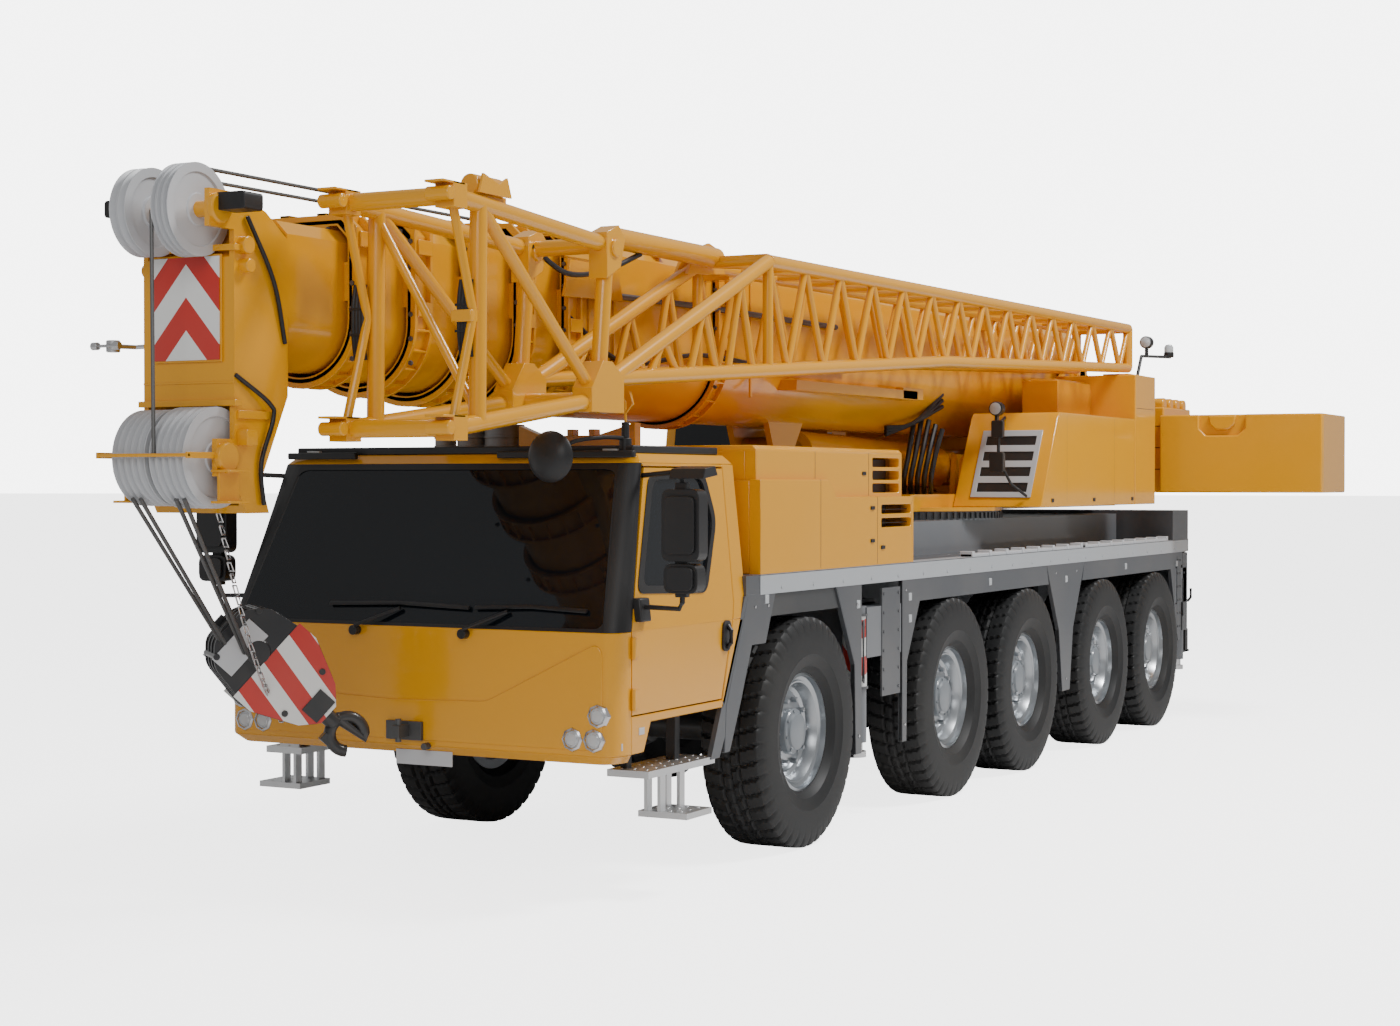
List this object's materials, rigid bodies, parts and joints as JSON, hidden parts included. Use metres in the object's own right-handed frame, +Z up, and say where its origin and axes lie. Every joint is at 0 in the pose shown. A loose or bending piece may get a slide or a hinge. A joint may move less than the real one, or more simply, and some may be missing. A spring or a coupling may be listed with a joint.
{
  "type": "five-axle all-terrain mobile crane",
  "caption": "Mobile telescopic crane on a five-axle carrier, stowed for the road, with wheels, steering, outriggers, slewing, luffing and telescoping boom that all move.",
  "frame": {"origin": "on the ground under the middle of the whole machine's bounding box", "axes": "+X to the vehicle's left, +Y to the rear, +Z up; metres"},
  "size_m": [5.6, 14.075, 3.8448],
  "materials": {
    "cab_trim": "matte dark plastic and cloth",
    "carrier_grey": "satin mid grey paint",
    "crane_yellow": "gloss golden yellow paint",
    "engine": "plain cast iron",
    "frame_dark": "satin dark grey paint",
    "glass": "dark tinted glass",
    "hook_black": "black paint with red and white stripes",
    "jack_steel": "bare ground steel rod",
    "mirror_black": "matte black plastic",
    "sheave_white": "pale cast polyamide",
    "step_alloy": "tread plate",
    "tyre": "black rubber on a grey steel rim"
  },
  "bodies": {
    "root": {"chassis_frame": "carrier_grey", "axle_beams": "frame_dark", "side_panels": "carrier_grey", "cab_shell": "crane_yellow", "cab_glass": "glass", "cab_interior": "cab_trim", "access_steps": "step_alloy", "engine_cover": "crane_yellow", "engine_block": "engine"},
    "door_left": {"cab_door_left": "crane_yellow", "door_glass_left": "glass", "mirror_left": "mirror_black"},
    "door_right": {"cab_door_right": "crane_yellow", "door_glass_right": "glass", "mirror_right": "mirror_black"},
    "wheel_1_left": {"wheel_1_left": "tyre"},
    "steer_1_left": {"knuckle_1_left": "frame_dark"},
    "wheel_1_right": {"wheel_1_right": "tyre"},
    "steer_1_right": {"knuckle_1_right": "frame_dark"},
    "wheel_2_left": {"wheel_2_left": "tyre"},
    "steer_2_left": {"knuckle_2_left": "frame_dark"},
    "wheel_2_right": {"wheel_2_right": "tyre"},
    "steer_2_right": {"knuckle_2_right": "frame_dark"},
    "wheel_3_left": {"wheel_3_left": "tyre"},
    "wheel_3_right": {"wheel_3_right": "tyre"},
    "wheel_4_left": {"wheel_4_left": "tyre"},
    "steer_4_left": {"knuckle_4_left": "frame_dark"},
    "wheel_4_right": {"wheel_4_right": "tyre"},
    "steer_4_right": {"knuckle_4_right": "frame_dark"},
    "wheel_5_left": {"wheel_5_left": "tyre"},
    "steer_5_left": {"knuckle_5_left": "frame_dark"},
    "wheel_5_right": {"wheel_5_right": "tyre"},
    "steer_5_right": {"knuckle_5_right": "frame_dark"},
    "outrigger_front_left": {"outrigger_beam_front_left": "carrier_grey"},
    "jack_front_left": {"outrigger_jack_front_left": "jack_steel"},
    "outrigger_front_right": {"outrigger_beam_front_right": "carrier_grey"},
    "jack_front_right": {"outrigger_jack_front_right": "jack_steel"},
    "outrigger_rear_left": {"outrigger_beam_rear_left": "carrier_grey"},
    "jack_rear_left": {"outrigger_jack_rear_left": "jack_steel"},
    "outrigger_rear_right": {"outrigger_beam_rear_right": "carrier_grey"},
    "jack_rear_right": {"outrigger_jack_rear_right": "jack_steel"},
    "superstructure": {"turntable": "crane_yellow", "machinery_housing": "crane_yellow", "crane_cab": "crane_yellow"},
    "ballast": {"counterweight": "crane_yellow"},
    "winch": {"winch_drum": "crane_yellow"},
    "boom": {"boom_base": "crane_yellow", "lattice_jib": "crane_yellow"},
    "section_1": {"boom_section_1": "crane_yellow"},
    "section_2": {"boom_section_2": "crane_yellow"},
    "section_3": {"boom_section_3": "crane_yellow"},
    "section_4": {"boom_section_4": "crane_yellow"},
    "section_5": {"boom_section_5": "crane_yellow", "head_sheaves": "sheave_white"},
    "luff_barrel": {"luff_barrel": "crane_yellow"},
    "luff_rod": {"luff_rod": "jack_steel"},
    "hook": {"hook_block": "hook_black"}
  },
  "joints": [
    {"name": "door_left_open", "type": "hinge", "parent": "root", "child": "door_left", "pos_m": [1.344, -4.6315, 1.7], "axis": [0, 0, -1], "range_deg": [0, 70]},
    {"name": "door_right_open", "type": "hinge", "parent": "root", "child": "door_right", "pos_m": [-1.344, -4.6315, 1.7], "axis": [0, 0, 1], "range_deg": [0, 70]},
    {"name": "steer_1_left", "type": "hinge", "parent": "root", "child": "steer_1_left", "pos_m": [0.97, -2.4125, 0.732], "axis": [0, 0, 1], "range_deg": [-35, 35]},
    {"name": "wheel_1_left_spin", "type": "hinge", "parent": "steer_1_left", "child": "wheel_1_left", "pos_m": [1.155, -2.4125, 0.732], "axis": [1, 0, 0], "continuous": true},
    {"name": "steer_1_right", "type": "hinge", "parent": "root", "child": "steer_1_right", "pos_m": [-0.97, -2.4125, 0.732], "axis": [0, 0, 1], "range_deg": [-35, 35]},
    {"name": "wheel_1_right_spin", "type": "hinge", "parent": "steer_1_right", "child": "wheel_1_right", "pos_m": [-1.155, -2.4125, 0.732], "axis": [1, 0, 0], "continuous": true},
    {"name": "steer_2_left", "type": "hinge", "parent": "root", "child": "steer_2_left", "pos_m": [0.97, 0.1575, 0.732], "axis": [0, 0, 1], "range_deg": [-25.2, 25.2]},
    {"name": "wheel_2_left_spin", "type": "hinge", "parent": "steer_2_left", "child": "wheel_2_left", "pos_m": [1.155, 0.1575, 0.732], "axis": [1, 0, 0], "continuous": true},
    {"name": "steer_2_right", "type": "hinge", "parent": "root", "child": "steer_2_right", "pos_m": [-0.97, 0.1575, 0.732], "axis": [0, 0, 1], "range_deg": [-25.2, 25.2]},
    {"name": "wheel_2_right_spin", "type": "hinge", "parent": "steer_2_right", "child": "wheel_2_right", "pos_m": [-1.155, 0.1575, 0.732], "axis": [1, 0, 0], "continuous": true},
    {"name": "wheel_3_left_spin", "type": "hinge", "parent": "root", "child": "wheel_3_left", "pos_m": [1.155, 1.8075, 0.732], "axis": [1, 0, 0], "continuous": true},
    {"name": "wheel_3_right_spin", "type": "hinge", "parent": "root", "child": "wheel_3_right", "pos_m": [-1.155, 1.8075, 0.732], "axis": [1, 0, 0], "continuous": true},
    {"name": "steer_4_left", "type": "hinge", "parent": "root", "child": "steer_4_left", "pos_m": [0.97, 3.8225, 0.732], "axis": [0, 0, 1], "range_deg": [-17.5, 17.5]},
    {"name": "wheel_4_left_spin", "type": "hinge", "parent": "steer_4_left", "child": "wheel_4_left", "pos_m": [1.155, 3.8225, 0.732], "axis": [1, 0, 0], "continuous": true},
    {"name": "steer_4_right", "type": "hinge", "parent": "root", "child": "steer_4_right", "pos_m": [-0.97, 3.8225, 0.732], "axis": [0, 0, 1], "range_deg": [-17.5, 17.5]},
    {"name": "wheel_4_right_spin", "type": "hinge", "parent": "steer_4_right", "child": "wheel_4_right", "pos_m": [-1.155, 3.8225, 0.732], "axis": [1, 0, 0], "continuous": true},
    {"name": "steer_5_left", "type": "hinge", "parent": "root", "child": "steer_5_left", "pos_m": [0.97, 5.4725, 0.732], "axis": [0, 0, 1], "range_deg": [-24.5, 24.5]},
    {"name": "wheel_5_left_spin", "type": "hinge", "parent": "steer_5_left", "child": "wheel_5_left", "pos_m": [1.155, 5.4725, 0.732], "axis": [1, 0, 0], "continuous": true},
    {"name": "steer_5_right", "type": "hinge", "parent": "root", "child": "steer_5_right", "pos_m": [-0.97, 5.4725, 0.732], "axis": [0, 0, 1], "range_deg": [-24.5, 24.5]},
    {"name": "wheel_5_right_spin", "type": "hinge", "parent": "steer_5_right", "child": "wheel_5_right", "pos_m": [-1.155, 5.4725, 0.732], "axis": [1, 0, 0], "continuous": true},
    {"name": "outrigger_front_left_slide", "type": "slide", "parent": "root", "child": "outrigger_front_left", "axis": [1, 0, 0], "range_m": [0, 1.75]},
    {"name": "jack_front_left_slide", "type": "slide", "parent": "outrigger_front_left", "child": "jack_front_left", "axis": [0, 0, -1], "range_m": [0, 0.55]},
    {"name": "outrigger_front_right_slide", "type": "slide", "parent": "root", "child": "outrigger_front_right", "axis": [-1, 0, 0], "range_m": [0, 1.75]},
    {"name": "jack_front_right_slide", "type": "slide", "parent": "outrigger_front_right", "child": "jack_front_right", "axis": [0, 0, -1], "range_m": [0, 0.55]},
    {"name": "outrigger_rear_left_slide", "type": "slide", "parent": "root", "child": "outrigger_rear_left", "axis": [1, 0, 0], "range_m": [0, 1.75]},
    {"name": "jack_rear_left_slide", "type": "slide", "parent": "outrigger_rear_left", "child": "jack_rear_left", "axis": [0, 0, -1], "range_m": [0, 0.55]},
    {"name": "outrigger_rear_right_slide", "type": "slide", "parent": "root", "child": "outrigger_rear_right", "axis": [-1, 0, 0], "range_m": [0, 1.75]},
    {"name": "jack_rear_right_slide", "type": "slide", "parent": "outrigger_rear_right", "child": "jack_rear_right", "axis": [0, 0, -1], "range_m": [0, 0.55]},
    {"name": "slew", "type": "hinge", "parent": "root", "child": "superstructure", "pos_m": [0, 2.1875, 2.01], "axis": [0, 0, 1], "range_deg": [-115, 115]},
    {"name": "ballast_lift", "type": "slide", "parent": "superstructure", "child": "ballast", "axis": [0, 0, 1], "range_m": [0, 0.36]},
    {"name": "winch_spin", "type": "hinge", "parent": "superstructure", "child": "winch", "pos_m": [0, 4.4375, 2.4557], "axis": [1, 0, 0], "continuous": true},
    {"name": "luff", "type": "hinge", "parent": "superstructure", "child": "boom", "pos_m": [0, 5.5875, 3.35], "axis": [-1, 0, 0], "range_deg": [0, 80]},
    {"name": "cylinder_swing", "type": "hinge", "parent": "superstructure", "child": "luff_barrel", "pos_m": [0, 3.1875, 2.45], "axis": [-1, 0, 0], "range_deg": [0, 93.6]},
    {"name": "cylinder_stroke", "type": "slide", "parent": "luff_barrel", "child": "luff_rod", "axis": [0, -0.9997, 0.0257], "range_m": [0, 3.094]},
    {"name": "telescope_1", "type": "slide", "parent": "boom", "child": "section_1", "axis": [0, -1, 0], "range_m": [0, 8.2]},
    {"name": "telescope_2", "type": "slide", "parent": "section_1", "child": "section_2", "axis": [0, -1, 0], "range_m": [0, 8.2]},
    {"name": "telescope_3", "type": "slide", "parent": "section_2", "child": "section_3", "axis": [0, -1, 0], "range_m": [0, 8.2]},
    {"name": "telescope_4", "type": "slide", "parent": "section_3", "child": "section_4", "axis": [0, -1, 0], "range_m": [0, 8.2]},
    {"name": "telescope_5", "type": "slide", "parent": "section_4", "child": "section_5", "axis": [0, -1, 0], "range_m": [0, 8.2]},
    {"name": "hook_plumb", "type": "hinge", "parent": "section_5", "child": "hook", "pos_m": [0, -6.7625, 2.43], "axis": [-1, 0, 0], "range_deg": [-31.4, 0]}
  ],
  "couplings": [
    {"joint": "steer_1_right", "follows": "steer_1_left", "ratio": 1},
    {"joint": "steer_2_left", "follows": "steer_1_left", "ratio": 0.72},
    {"joint": "steer_2_right", "follows": "steer_1_left", "ratio": 0.72},
    {"joint": "steer_4_left", "follows": "steer_1_left", "ratio": -0.5},
    {"joint": "steer_4_right", "follows": "steer_1_left", "ratio": -0.5},
    {"joint": "steer_5_left", "follows": "steer_1_left", "ratio": -0.7},
    {"joint": "steer_5_right", "follows": "steer_1_left", "ratio": -0.7},
    {"joint": "cylinder_swing", "follows": "luff", "ratio": 1.1694},
    {"joint": "cylinder_stroke", "follows": "luff", "m_per_rad": 2.2159},
    {"joint": "hook_plumb", "follows": "luff", "ratio": -0.39198}
  ]
}
